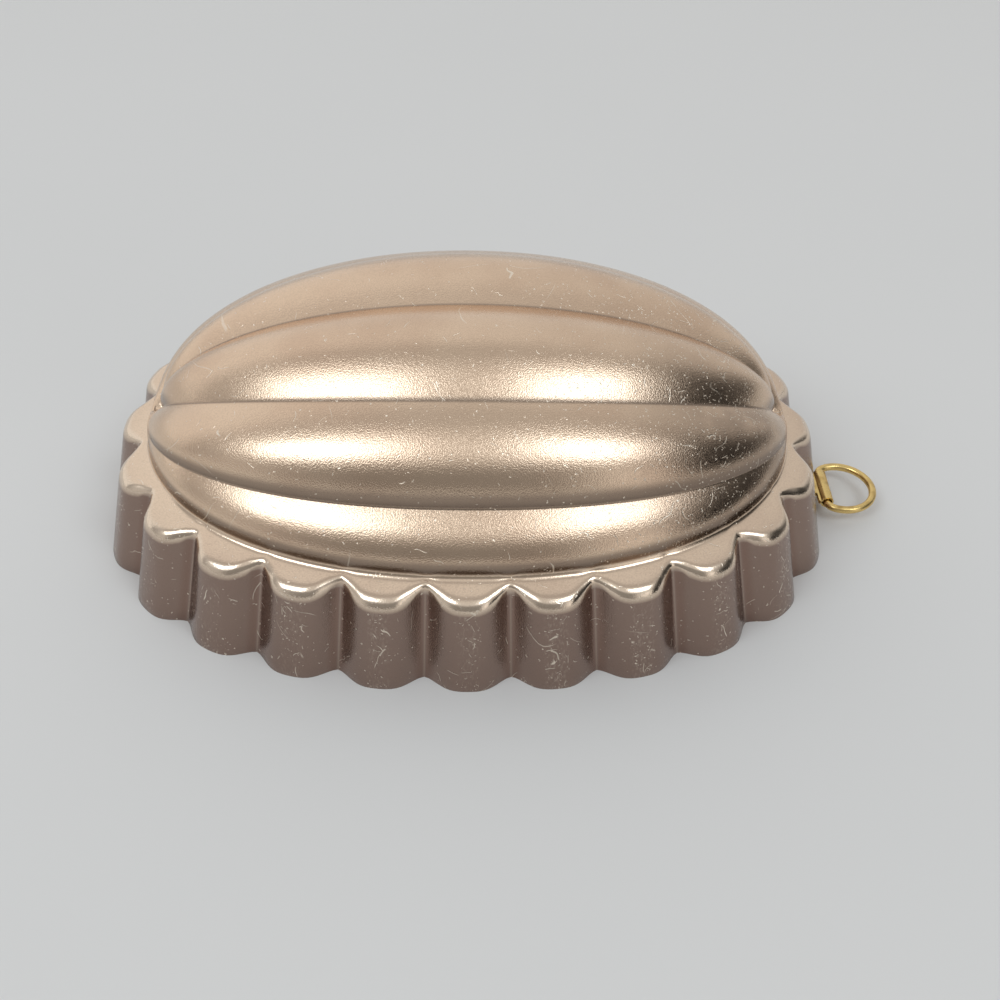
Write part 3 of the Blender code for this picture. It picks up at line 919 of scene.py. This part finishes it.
def scratches(name):
    """Thin marks, each where the surface passes through a small plane of its own."""
    takes = [("Vector", POINT, None), ("Scale", NUMBER, 200.0), ("Width", NUMBER, 0.02)]
    takes += [("Length", NUMBER, 0.4), ("Share", NUMBER, 0.5), ("Bend", NUMBER, 0.0)]
    rule = shader_rule(name, takes, [("Mask", NUMBER)])
    wander = noise(rule, rule["Vector"], rule["Scale"] * 0.9, 1.0, "Color")
    place = rule["Vector"] * rule["Scale"] + rule.work("ADD", wander, HALF_BACK) * rule["Bend"]
    tint = rule.node("ShaderNodeTexVoronoi", {"Vector": place, "Scale": 1.0}, "Color")
    local = place - rule.beside(tint, "Position")
    lean = rule.work("NORMALIZE", rule.work("ADD", tint, HALF_BACK))
    across = rule.work("ABSOLUTE", rule.work("DOT_PRODUCT", local, lean))
    chance = rule.node("ShaderNodeTexWhiteNoise", {"Vector": tint}, "Value")
    other_chance = rule.node("ShaderNodeTexWhiteNoise", {"Vector": tint * 3.7}, "Value")
    size = ramp(rule, other_chance, 0.0, 1.0, 0.4, 1.0)
    line = ramp(rule, across, rule["Width"], rule["Width"] * 0.2)
    reach = rule["Length"] * size
    ends = ramp(rule, rule.work("LENGTH", local), reach, reach * 0.6)
    return rule.put("Mask", line * ends * size * rule.work("LESS_THAN", chance, rule["Share"]))


def pits(name):
    """Small uneven dents, scattered."""
    takes = [("Vector", POINT, None), ("Scale", NUMBER, 500.0)]
    takes += [("Radius", NUMBER, 0.2), ("Share", NUMBER, 0.2)]
    rule = shader_rule(name, takes, [("Mask", NUMBER)])
    wander = noise(rule, rule["Vector"], rule["Scale"] * 2.5, 1.0, "Color")
    place = rule["Vector"] * rule["Scale"] + rule.work("ADD", wander, HALF_BACK) * 0.5
    distance = rule.node("ShaderNodeTexVoronoi", {"Vector": place, "Scale": 1.0}, "Distance")
    tint = rule.beside(distance, "Color")
    chance = rule.node("ShaderNodeTexWhiteNoise", {"Vector": tint}, "Value")
    size = rule.node("ShaderNodeTexWhiteNoise", {"Vector": tint * 5.3}, "Value") * rule["Radius"]
    dent = ramp(rule, distance, size, size * 0.3)
    return rule.put("Mask", dent * rule.work("LESS_THAN", chance, rule["Share"]))


def grain(name):
    """Fine satin grain with hairlines drawn along one direction."""
    takes = [("Vector", POINT, None), ("Grain", NUMBER, 2600.0), ("Stretch", POINT, None)]
    rule = shader_rule(name, takes, [("Grain", NUMBER), ("Lines", NUMBER)])
    rule.put("Grain", noise(rule, rule["Vector"], rule["Grain"], 3.0))
    return rule.put("Lines", noise(rule, rule["Vector"] * rule["Stretch"], 1.0, 3.0))


def new_material(name):
    """A metal, with its node tree, its shader and the object's own coordinates."""
    material = bpy.data.materials.new(name)
    material.use_nodes = True
    rule = Rule(name, tree=material.node_tree)
    shader = material.node_tree.nodes["Principled BSDF"]
    shader.inputs["Metallic"].default_value = 1.0
    coordinates = rule.node("ShaderNodeTexCoord", {}, "Object")
    return material, rule, shader, coordinates


def attribute(rule, name):
    return rule.node("ShaderNodeAttribute", {}, "Fac", attribute_name=name)


def bump(rule, height, distance, strength=1.0):
    return rule.node("ShaderNodeBump", {"Height": height, "Distance": distance, "Strength": strength})


def greatest(rule, *values):
    found = values[0]
    for value in values[1:]:
        found = rule.work("MAXIMUM", found, value)
    return found


# Heights over which the skirt's finish fades out, and over which the ledge's comes in and fades out.
SKIRT_TOP = (28.0 * MM, 25.5 * MM)
LEDGE_START, LEDGE_END = (25.5 * MM, 26.2 * MM), (30.0 * MM, 29.0 * MM)
# Where the right end's wear comes in along the mould, and the front right end's stain and painted shade,
# along it and across it.
WORN_END, STAIN_AND_SHADE_END, STAIN_AND_SHADE_SIDE = (-5.0 * MM, 55.0 * MM), (18.0 * MM, 58.0 * MM), (-5.0 * MM, -18.0 * MM)
# Kinds of scratch: scale, width, length and bend, the share of places that have one, how many more of them
# do where it is worn, and how strong it is.
LONG_SCRATCHES = (80.0, 0.010, 0.48, 0.5, 0.60, 0.0, 0.60)
SQUIGGLES = (150.0, 0.017, 0.50, 1.1, 0.10, 0.8, 0.80)
STROKES = (300.0, 0.024, 0.50, 0.7, 0.24, 0.7, 0.85)
NICKS = (900.0, 0.110, 0.34, 1.0, 0.20, 0.8, 0.80)
CREST_STROKES = (380.0, 0.050, 0.55, 0.8, 0.0, 0.8, 0.90)
# How much the marks on the crests are drawn out upwards.
UPRIGHT, UPRIGHT_STROKES = (1.0, 1.0, 0.4), (1.0, 1.0, 0.45)
BUMP_HEIGHT = 0.07 * MM


def scratched(rule, place, worn, kind):
    """One kind of scratch, from its row above."""
    scale, width, reach, bend, share, more, strength = kind
    inputs = {"Vector": place, "Scale": scale, "Width": width, "Length": reach, "Bend": bend}
    inputs["Share"] = worn * more + share
    return rule.group(shared_group("scratches", scratches), inputs) * strength


def pitted(rule, place, scale, radius, share):
    inputs = {"Vector": place, "Scale": scale, "Radius": radius, "Share": share}
    return rule.group(shared_group("pits", pits), inputs)


def zones(rule, height):
    """How far a point counts as skirt, as ledge and as dome."""
    skirt = ramp(rule, height, *SKIRT_TOP)
    ledge = ramp(rule, height, *LEDGE_START) * ramp(rule, height, *LEDGE_END)
    return skirt, ledge, (1.0 - skirt) * (1.0 - ledge)


def skirt_tone(rule, tone, skirt, wave, rounding, finish):
    """Paints the skirt darker as shade, paints shade into its valleys and a thin highlight along their
    deepest line.
    """
    # Painted shade: the skirt is painted darker.
    tone = blend_colours(rule, skirt * (1.0 - rounding) * 0.9, tone, finish.anodised_dull)
    # Painted shade in the valleys.
    valley = plateau(rule, wave, 0.005, 0.06, 0.10, 0.40)
    tone = blend_colours(rule, skirt * valley * 0.65, tone, finish.anodised_thick)
    # Painted highlight along the valleys' deepest line.
    return blend_colours(rule, skirt * ramp(rule, wave, 0.03, 0.0) * 0.12, tone, finish.bare_and_sheen)


def dome_tone(rule, tone, place, dome, finish):
    """Paints shade on what is steep on the dome, and paints stain and shade on its front right end."""
    x, y, _ = rule.parts(place)
    _, _, up = rule.parts(rule.node("ShaderNodeNewGeometry", {}, "Normal"))
    # Painted shade: faces of the dome that turn down are painted darker.
    steep_painted_shade = (ramp(rule, up, 0.44, 0.24) * 0.76 + ramp(rule, up, 0.26, 0.06) * 0.22) * dome
    tone = blend_colours(rule, steep_painted_shade, tone, finish.shade_and_grime)
    # Stain and painted shade at the front right end.
    stain_and_shade = ramp(rule, x, *STAIN_AND_SHADE_END) * ramp(rule, y, *STAIN_AND_SHADE_SIDE) * dome
    stain_and_shade = stain_and_shade * ramp(rule, noise(rule, place, 60.0, 3.0), 0.36, 0.56, 0.4, 1.0)
    return blend_colours(rule, stain_and_shade * 0.62, tone, finish.shade_and_grime)


def wear_marks(rule, place, worn, crest, ledge):
    """Scratches, nicks and dents, with more of them where the metal is worn."""
    marks = [scratched(rule, place, worn, LONG_SCRATCHES) * (1.0 - ledge)]
    marks += [scratched(rule, place, worn, kind) for kind in (SQUIGGLES, STROKES, NICKS)]
    marks.append(scratched(rule, place * UPRIGHT_STROKES, crest, CREST_STROKES))
    marks.append(pitted(rule, place, 600.0, 0.17, worn * 0.4 + 0.2))
    marks.append(pitted(rule, place, 1150.0, 0.36, worn - crest * 0.6 + 0.06) * 0.9)
    return greatest(rule, *marks)


def anodised_aluminium(finish):
    """Copper-tone anodising: its tone by zone, with painted shade and highlight, then its wear, then its
    grain.
    """
    material, rule, shader, place = new_material("anodised_aluminium")
    x, _, z = rule.parts(place)
    wave, rounding, crease = [attribute(rule, name) for name in ("wave", "rounding", "crease")]
    skirt, ledge, dome = zones(rule, z)

    mottle = noise(rule, place, 45.0, 4.0)
    tone = blend_colours(rule, ramp(rule, mottle, 0.38, 0.72), finish.anodised, finish.anodised_deep)
    tone = skirt_tone(rule, tone, skirt, wave, rounding, finish)
    tone = dome_tone(rule, tone, place, dome, finish)
    tone = blend_colours(rule, greatest(rule, rounding * 0.45, ledge * 0.2), tone, finish.bare_and_sheen)
    # Painted shade along the creases.
    tone = blend_colours(rule, crease * 0.75, tone, finish.shade_and_grime)

    drift = noise(rule, place, 38.0, 3.0)
    right_end = ramp(rule, x, *WORN_END) * ramp(rule, drift, 0.32, 0.52)
    crest = skirt * ramp(rule, wave, 0.93, 0.995) * ramp(rule, drift, 0.34, 0.58, 0.25, 1.0)
    worn = greatest(rule, right_end * (1.0 - skirt), crest) * (1.0 - ledge)
    rubbed = crest * ramp(rule, noise(rule, place * UPRIGHT, 1900.0), 0.5, 0.66)
    tone = blend_colours(rule, rubbed * 0.12, tone, finish.bare_and_sheen)
    marked = wear_marks(rule, place, worn, crest, ledge)

    inputs = {"Vector": place, "Grain": 3000.0, "Stretch": (3600.0, 1400.0, 1400.0)}
    fine = rule.group(shared_group("satin_grain", grain), inputs, "Grain")
    tone = blend_colours(rule, ramp(rule, fine, 0.42, 0.68) * 0.12, tone, finish.shade_and_grime)
    rule.feed(shader.inputs["Base Color"], blend_colours(rule, marked, tone, finish.bare_and_sheen))
    rough = ramp(rule, mottle, 0.3, 0.7, 0.14, 0.19) + (fine - 0.5) * 0.25 - rounding * 0.04
    rough = rough + marked * 0.25 + skirt * 0.04 + crease * 0.1
    rule.feed(shader.inputs["Roughness"], rough)
    sparkle = ramp(rule, fine, 0.34, 0.68) * 0.25 + rule.beside(fine, "Lines") * 0.12
    height = sparkle * (1.0 - ledge * 0.7) - marked * 0.5
    rule.feed(shader.inputs["Normal"], bump(rule, height, BUMP_HEIGHT))
    return material


def natural_aluminium(finish):
    """Plain aluminium of the inside, a little duller in places."""
    material, rule, shader, place = new_material("natural_aluminium")
    mottle = noise(rule, place, 40.0, 4.0)
    dull = tuple(part * 0.82 for part in finish.plain)
    tone = blend_colours(rule, ramp(rule, mottle, 0.3, 0.7), finish.plain, dull)
    rule.feed(shader.inputs["Base Color"], tone)
    inputs = {"Vector": place, "Stretch": (90.0, 1500.0, 1500.0)}
    fine = rule.group(shared_group("satin_grain", grain), inputs, "Grain")
    rule.feed(shader.inputs["Roughness"], ramp(rule, mottle, 0.3, 0.7, 0.26, 0.36) + (fine - 0.5) * 0.1)
    height = fine * 0.4 + rule.beside(fine, "Lines") * 0.4
    rule.feed(shader.inputs["Normal"], bump(rule, height, 0.02 * MM))
    return material


def brass(finish):
    """Brass of the strap and the ring, built once."""
    made = bpy.data.materials.get("brass_wire_and_strip")
    if made:
        return made
    material, rule, shader, place = new_material("brass_wire_and_strip")
    mottle = noise(rule, place, 260.0, 4.0)
    tone = blend_colours(rule, ramp(rule, mottle, 0.45, 0.75), finish.brass, finish.brass_dull)
    rule.feed(shader.inputs["Base Color"], tone)
    rule.feed(shader.inputs["Roughness"], ramp(rule, mottle, 0.3, 0.7, 0.22, 0.36))
    inputs = {"Vector": place, "Grain": 4000.0, "Stretch": (300.0, 300.0, 2500.0)}
    fine = rule.group(shared_group("satin_grain", grain), inputs, "Grain")
    height = fine * 0.4 + rule.beside(fine, "Lines") * 0.3
    rule.feed(shader.inputs["Normal"], bump(rule, height, 0.01 * MM))
    return material


# Stage

FLOOR_HALF = 3.0


def floor(finish):
    """A plain pale floor at the rim's plane."""
    bm = bmesh.new()
    bmesh.ops.create_grid(bm, x_segments=8, y_segments=8, size=FLOOR_HALF)
    mesh = mesh_from(bm, "floor")
    obj = new_object("floor", mesh)
    material = bpy.data.materials.new("plain_floor")
    material.use_nodes = True
    rule = Rule("plain_floor", tree=material.node_tree)
    shader = material.node_tree.nodes["Principled BSDF"]
    place = rule.node("ShaderNodeTexCoord", {}, "Object")
    mottle = noise(rule, place, 6.0, 3.0)
    darker = tuple(part * 0.97 for part in finish.floor)
    rule.feed(shader.inputs["Base Color"], blend_colours(rule, mottle, finish.floor, darker))
    shader.inputs["Roughness"].default_value = 0.8
    shader.inputs["Specular IOR Level"].default_value = 0.2
    mesh.materials.append(material)


COOL = (0.89, 1.0, 1.09)
# Soft boxes: where each stands, its width and height, and its power.
SOFT_BOXES = {
    "soft_box_left": ((-1.03, -0.77, 1.53), (1.15, 0.64), 6.0),
    "soft_box_right": ((0.83, -0.77, 1.65), (0.74, 0.66), 4.0),
}


def soft_box(name, place, size, power):
    """A soft lamp that is aimed at the mould, with its sides along it."""
    light = bpy.data.lights.new(name, "AREA")
    light.shape = "RECTANGLE"
    light.size, light.size_y = size
    light.energy = power
    light.color = COOL
    obj = new_object(name, light)
    back = Vector(place).normalized()
    side = (Vector((1.0, 0.0, 0.0)) - back * back.x).normalized()
    turn = Matrix((side, back.cross(side), back)).transposed()
    obj.matrix_world = Matrix.Translation(place) @ turn.to_4x4()


# Levels of the soft light: from the front, then from above, overhead and behind, each with the degrees up
# from the front over which it comes in.
BEHIND = (97.0, 108.0)
FRONT_LEVEL = 0.27
HIGHER_LEVELS = ((0.66, 34.0, 54.0), (0.50, 74.0, 88.0), (0.77, *BEHIND))
# How that light falls off to the right and to the left, before the mould and behind it: the degrees to the
# side over which it does so, and its share at either end of them.
FRONT_FADES = ((36.0, 60.0, 1.0, 0.10), (-46.0, -80.0, 1.0, 0.6))
BACK_FADES = ((50.0, 74.0, 1.0, 0.20), (-40.0, 50.0, 1.07, 0.80))
# Soft panels: the degrees to the side, then up from the front, at which each begins, is full, is still full
# and ends, then its strength and tint.
GLOW_HEIGHT, PANEL_HEIGHT = (42.0, 58.0, 72.0, 84.0), (-20.0, -10.0, 30.0, 54.0)
WHITE = (1.0, 1.0, 1.0)
PANELS = (
    ((-56.0, -42.0, -18.0, -6.0), GLOW_HEIGHT, 0.60, COOL),
    ((4.0, 16.0, 32.0, 44.0), GLOW_HEIGHT, 0.60, COOL),
    ((16.0, 42.0, 46.0, 56.0), PANEL_HEIGHT, 0.72, WHITE),
    ((-200.0, -190.0, -70.0, -20.0), PANEL_HEIGHT, 0.36, WHITE),
)


def studio_world():
    """Soft light from all round, darker at the right, with soft panels in it."""
    world = bpy.data.worlds.new("studio")
    bpy.context.scene.world = world
    world.use_nodes = True
    rule = Rule("studio", tree=world.node_tree)
    background = world.node_tree.nodes["Background"]
    x, y, z = rule.parts(rule.node("ShaderNodeTexCoord", {}, "Generated"))
    height = rule.work("ARCTAN2", z, y * -1.0) * math.degrees(1.0)
    side = rule.work("ARCSINE", x) * math.degrees(1.0)
    level = FRONT_LEVEL
    for share, low, high in HIGHER_LEVELS:
        level = rule.mix(ramp(rule, height, low, high), level, share)
    fades = [ramp(rule, side, *right) * ramp(rule, side, *left) for right, left in (FRONT_FADES, BACK_FADES)]
    level = level * rule.mix(ramp(rule, height, *BEHIND), *fades)
    light = [level, level, level]
    for sides, heights, strength, tint in PANELS:
        panel = plateau(rule, side, *sides) * plateau(rule, height, *heights) * strength
        light = [part + panel * share for part, share in zip(light, tint)]
    inputs = dict(zip(("Red", "Green", "Blue"), light))
    rule.feed(background.inputs["Color"], rule.node("ShaderNodeCombineColor", inputs))


# The photograph's camera, found from the rim and the ledge: its focal length in pixels, its turns in
# radians, and its distance and shifts in half lengths of the rim.
FOCAL, TILT, DISTANCE, ROLL, YAW = 1201.965, 0.7665045, 3.4582030, -0.0274139, 0.0324436
SHIFT_X, SHIFT_Z = -0.0891295, 0.0042973
SENSOR, IMAGE = 36.0, 1000.0


def camera(half_length):
    """The camera at the photograph's angle, about the middle of the mould."""
    data = bpy.data.cameras.new("camera")
    data.sensor_width = SENSOR
    data.lens = FOCAL / IMAGE * SENSOR
    data.clip_start = 0.01
    obj = new_object("camera", data)
    place = Vector((0.0, -DISTANCE * math.cos(TILT), DISTANCE * math.sin(TILT)))
    forward = -place.normalized()
    right = Vector((1.0, 0.0, 0.0))
    up = right.cross(forward)
    place -= Vector((SHIFT_X, 0.0, SHIFT_Z))
    rolled_right = math.cos(ROLL) * right - math.sin(ROLL) * up
    rolled_up = math.sin(ROLL) * right + math.cos(ROLL) * up
    turn = Matrix.Rotation(-YAW, 3, "Z")
    axes = Matrix((turn @ rolled_right, turn @ rolled_up, turn @ -forward)).transposed()
    obj.matrix_world = Matrix.Translation(turn @ place * half_length + CENTRE) @ axes.to_4x4()
    bpy.context.scene.camera = obj


# Operators


class MOULD_OT_shell(bpy.types.Operator):
    """Make the pressed sheet of the mould"""

    bl_idname = "mould.shell"
    bl_label = "Pressed sheet"

    def execute(self, context):
        scene = context.scene
        mould_shell(scene.mould_sheet, scene.mould_walls, scene.mould_finish)
        return {"FINISHED"}


class MOULD_OT_hanger(bpy.types.Operator):
    """Make the strap and the ring that hangs in it"""

    bl_idname = "mould.hanger"
    bl_label = "Strap and ring"

    def execute(self, context):
        scene = context.scene
        hanger_strap(scene.mould_hanger, scene.mould_sheet, scene.mould_walls, scene.mould_finish)
        hanging_ring(scene.mould_hanger, scene.mould_finish)
        return {"FINISHED"}


class MOULD_OT_stage(bpy.types.Operator):
    """Make the floor, the lamps and the camera"""

    bl_idname = "mould.stage"
    bl_label = "Stage"

    def execute(self, context):
        scene = context.scene
        floor(scene.mould_finish)
        for name, (place, size, power) in SOFT_BOXES.items():
            soft_box(name, place, size, power)
        studio_world()
        camera(scene.mould_sheet.rim_half_length)
        scene.view_settings.view_transform = "Standard"
        return {"FINISHED"}


class MOULD_PT_panel(bpy.types.Panel):
    """Lists what can be made and the sizes that can be changed"""

    bl_idname = "MOULD_PT_panel"
    bl_label = "Melon jelly mould"
    bl_space_type = "VIEW_3D"
    bl_region_type = "UI"
    bl_category = "Mould"

    def draw(self, context):
        for operator in OPERATORS:
            self.layout.operator(operator.bl_idname)
        for name in SETTINGS:
            group = getattr(context.scene, name)
            box = self.layout.box()
            for prop in group.bl_rna.properties:
                if prop.type in {"FLOAT", "INT"}:
                    box.prop(group, prop.identifier)


OPERATORS = (MOULD_OT_shell, MOULD_OT_hanger, MOULD_OT_stage)
SETTINGS = {
    "mould_sheet": SheetSizes,
    "mould_walls": WallSizes,
    "mould_hanger": HangerSizes,
    "mould_finish": Finish,
}


def register():
    for group in SETTINGS.values():
        bpy.utils.register_class(group)
    for name, group in SETTINGS.items():
        setattr(bpy.types.Scene, name, PointerProperty(type=group))
    for item in (*OPERATORS, MOULD_PT_panel):
        bpy.utils.register_class(item)


def unregister():
    for item in (MOULD_PT_panel, *reversed(OPERATORS)):
        bpy.utils.unregister_class(item)
    for name in SETTINGS:
        delattr(bpy.types.Scene, name)
    for group in SETTINGS.values():
        bpy.utils.unregister_class(group)


def main():
    register()
    bpy.ops.mould.shell()
    bpy.ops.mould.hanger()
    bpy.ops.mould.stage()


if __name__ == "__main__":
    main()
